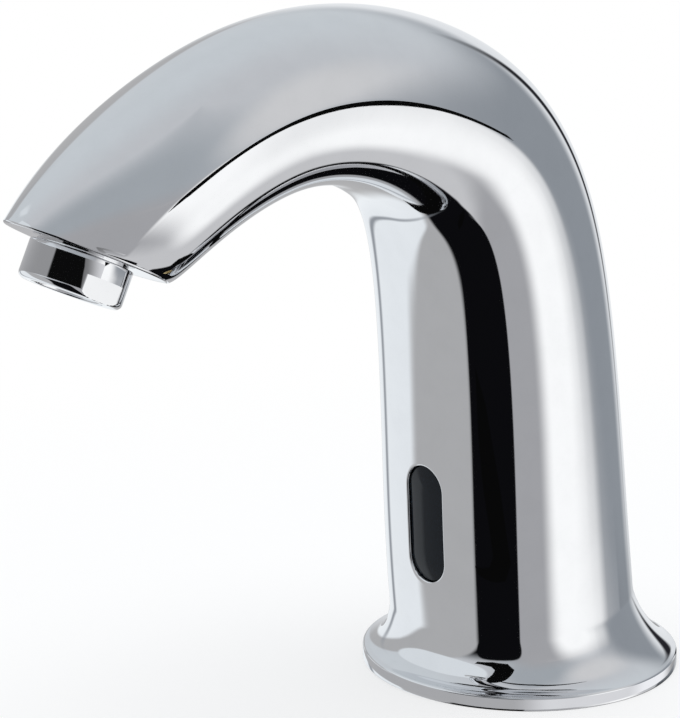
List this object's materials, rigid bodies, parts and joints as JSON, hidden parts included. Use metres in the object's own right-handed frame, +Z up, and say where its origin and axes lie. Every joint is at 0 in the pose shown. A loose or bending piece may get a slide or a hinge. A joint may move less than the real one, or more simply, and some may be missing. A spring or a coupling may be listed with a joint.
{
  "type": "sensor tap",
  "caption": "Deck-mounted basin tap with an arched spout, an infrared sensor behind a dark window in the column, a screw-out aerator, and a stud clamp under the deck.",
  "frame": {"origin": "centre of the foot, on the plane where the foot stands on the deck", "axes": "+Z up, -Y forwards from the column to the outlet, +X to the right of a user who faces the tap; symmetric across the YZ plane"},
  "size_m": [0.07, 0.1688, 0.2199],
  "materials": {
    "chrome_casting": "mirror-polished plating on brass",
    "chrome_ring": "mirror-polished plating on brass",
    "steel_screen": "perforated sheet",
    "white_plastic": "moulded",
    "seal_rubber": "moulded",
    "dark_window": "polished, lets infrared through",
    "black_plastic": "moulded, fine grain",
    "board": "solder-masked fibreglass",
    "clear_lamp": "clear epoxy",
    "dark_lamp": "dark epoxy filter",
    "red_lamp": "tinted epoxy",
    "spring_steel": "cold-rolled strip",
    "zinc_steel": "zinc plated",
    "bare_brass": "turned",
    "grey_plastic": "moulded",
    "clamp_steel": "pressed plate, zinc plated",
    "nut_brass": "turned"
  },
  "bodies": {
    "tap": {"spout_body": "chrome_casting", "sensor_window": "dark_window", "window_gasket": "seal_rubber", "sensor_case": "black_plastic", "sensor_board": "board", "ir_emitter": "clear_lamp", "ir_receiver": "dark_lamp", "status_lamp": "red_lamp", "beam_divider": "black_plastic", "sensor_back_cover": "black_plastic", "sensor_bracket": "spring_steel", "bracket_screw": "zinc_steel", "case_screws": "zinc_steel", "inlet_tail": "bare_brass", "inlet_seal": "seal_rubber", "base_plate": "grey_plastic", "base_plate_screws": "zinc_steel", "lead_grommet": "seal_rubber", "base_gasket": "seal_rubber", "fixing_stud": "zinc_steel", "stud_locknut": "zinc_steel"},
    "aerator_core": {"aerator_insert": "white_plastic", "aerator_screen": "steel_screen", "aerator_seal": "seal_rubber"},
    "aerator_shell": {"aerator_housing": "chrome_ring"},
    "clamp": {"clamp_rubber": "seal_rubber", "clamp_plate": "clamp_steel", "clamp_washer": "zinc_steel"},
    "nut": {"fixing_nut": "nut_brass"}
  },
  "joints": [
    {"name": "aerator_travel", "type": "slide", "parent": "tap", "child": "aerator_core", "axis": [0, -0.4305, -0.9026], "range_m": [0, 0.007]},
    {"name": "aerator_turn", "type": "hinge", "parent": "aerator_core", "child": "aerator_shell", "pos_m": [0, -0.11772, 0.10788], "axis": [0, -0.4305, -0.9026], "range_deg": [0, 2520]},
    {"name": "clamp_travel", "type": "slide", "parent": "tap", "child": "clamp", "axis": [0, 0, 1], "range_m": [-0.014, 0.015]},
    {"name": "nut_turn", "type": "hinge", "parent": "clamp", "child": "nut", "pos_m": [0, 0.0135, -0.03], "axis": [0, 0, 1], "range_deg": [-4032, 4320]}
  ],
  "couplings": [
    {"joint": "aerator_turn", "follows": "aerator_travel", "rad_per_m": 6283.1},
    {"joint": "nut_turn", "follows": "clamp_travel", "rad_per_m": 5026.5}
  ]
}
